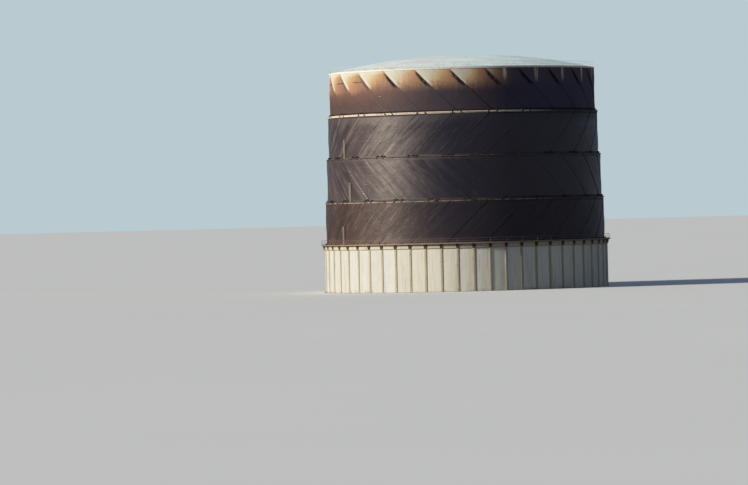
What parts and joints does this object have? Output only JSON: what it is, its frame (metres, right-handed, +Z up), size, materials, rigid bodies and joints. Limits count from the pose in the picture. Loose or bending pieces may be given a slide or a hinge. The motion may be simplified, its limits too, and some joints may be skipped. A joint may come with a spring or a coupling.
{
  "type": "half-size model of a spirally guided gas holder",
  "caption": "Half-size telescopic gas holder: stanchioned round steel water tank, nested lifts with slanting guide rails and seal rings, walkway, railings, ladders and a shallow domed crown.",
  "frame": {"origin": "middle of the tank's flat underside, on the holder's axis", "axes": "+Z up along the holder's axis, -Y the side that faces the viewer, +X to the viewer's right"},
  "size_m": [31.71, 31.71, 25.6903],
  "materials": {
    "tank_paint": "matt cream paint, chalky and lightly rust-streaked",
    "ring_paint": "weathered cream and brown paint",
    "lift_paint": "dark brown-black bitumen, satin where sound and bleached to cream along the top lift",
    "crown_paint": "chalky pale green-white paint",
    "railing_paint": "cream paint on thin steel bars",
    "bare_steel": "wet tarred steel"
  },
  "bodies": {
    "tank": {"tank_floor": "bare_steel", "tank_wall_1": "tank_paint", "tank_wall_2": "tank_paint", "tank_wall_3": "tank_paint", "tank_wall_4": "tank_paint", "tank_walkway_1": "ring_paint", "tank_walkway_2": "ring_paint", "tank_walkway_3": "ring_paint", "tank_walkway_4": "ring_paint", "tank_railing_1": "railing_paint", "tank_railing_2": "railing_paint", "tank_railing_3": "railing_paint", "tank_railing_4": "railing_paint", "lift_4_ladder": "railing_paint"},
    "lift_4_curb": {"lift_4_curb": "bare_steel"},
    "lift_4": {"lift_4_wall_1": "lift_paint", "lift_4_wall_2": "lift_paint", "lift_4_wall_3": "lift_paint", "lift_4_wall_4": "lift_paint", "lift_4_grip": "ring_paint", "lift_3_ladder": "railing_paint"},
    "lift_3_cup": {"lift_3_cup": "bare_steel"},
    "lift_3": {"lift_3_wall_1": "lift_paint", "lift_3_wall_2": "lift_paint", "lift_3_wall_3": "lift_paint", "lift_3_wall_4": "lift_paint", "lift_3_grip": "ring_paint", "lift_2_ladder": "railing_paint"},
    "lift_2_cup": {"lift_2_cup": "bare_steel"},
    "lift_2": {"lift_2_wall_1": "lift_paint", "lift_2_wall_2": "lift_paint", "lift_2_wall_3": "lift_paint", "lift_2_wall_4": "lift_paint", "lift_2_grip": "ring_paint"},
    "lift_1_cup": {"lift_1_cup": "bare_steel"},
    "lift_1": {"lift_1_wall_1": "lift_paint", "lift_1_wall_2": "lift_paint", "lift_1_wall_3": "lift_paint", "lift_1_wall_4": "lift_paint", "crown_curb": "crown_paint", "crown_1": "crown_paint", "crown_2": "crown_paint", "crown_3": "crown_paint", "crown_4": "crown_paint", "crown_railing_1": "railing_paint", "crown_railing_2": "railing_paint", "crown_railing_3": "railing_paint", "crown_railing_4": "railing_paint"}
  },
  "joints": [
    {"name": "lift_4_rise", "type": "slide", "parent": "tank", "child": "lift_4_curb", "axis": [0, 0, 1], "range_m": [-4.3, 0]},
    {"name": "lift_4_turn", "type": "hinge", "parent": "lift_4_curb", "child": "lift_4", "pos_m": [0, 0, 0], "axis": [0, 0, 1], "range_deg": [-16.17, 0]},
    {"name": "lift_3_rise", "type": "slide", "parent": "lift_4", "child": "lift_3_cup", "axis": [0, 0, 1], "range_m": [-4.3, 0]},
    {"name": "lift_3_turn", "type": "hinge", "parent": "lift_3_cup", "child": "lift_3", "pos_m": [0, 0, 0], "axis": [0, 0, 1], "range_deg": [0, 16.43]},
    {"name": "lift_2_rise", "type": "slide", "parent": "lift_3", "child": "lift_2_cup", "axis": [0, 0, 1], "range_m": [-4.3, 0]},
    {"name": "lift_2_turn", "type": "hinge", "parent": "lift_2_cup", "child": "lift_2", "pos_m": [0, 0, 0], "axis": [0, 0, 1], "range_deg": [-16.7, 0]},
    {"name": "lift_1_rise", "type": "slide", "parent": "lift_2", "child": "lift_1_cup", "axis": [0, 0, 1], "range_m": [-4.3, 0]},
    {"name": "lift_1_turn", "type": "hinge", "parent": "lift_1_cup", "child": "lift_1", "pos_m": [0, 0, 0], "axis": [0, 0, 1], "range_deg": [0, 16.98]}
  ],
  "couplings": [
    {"joint": "lift_4_turn", "follows": "lift_4_rise", "rad_per_m": 0.065617},
    {"joint": "lift_3_turn", "follows": "lift_3_rise", "rad_per_m": -0.066667},
    {"joint": "lift_2_turn", "follows": "lift_2_rise", "rad_per_m": 0.067751},
    {"joint": "lift_1_turn", "follows": "lift_1_rise", "rad_per_m": -0.068871}
  ]
}
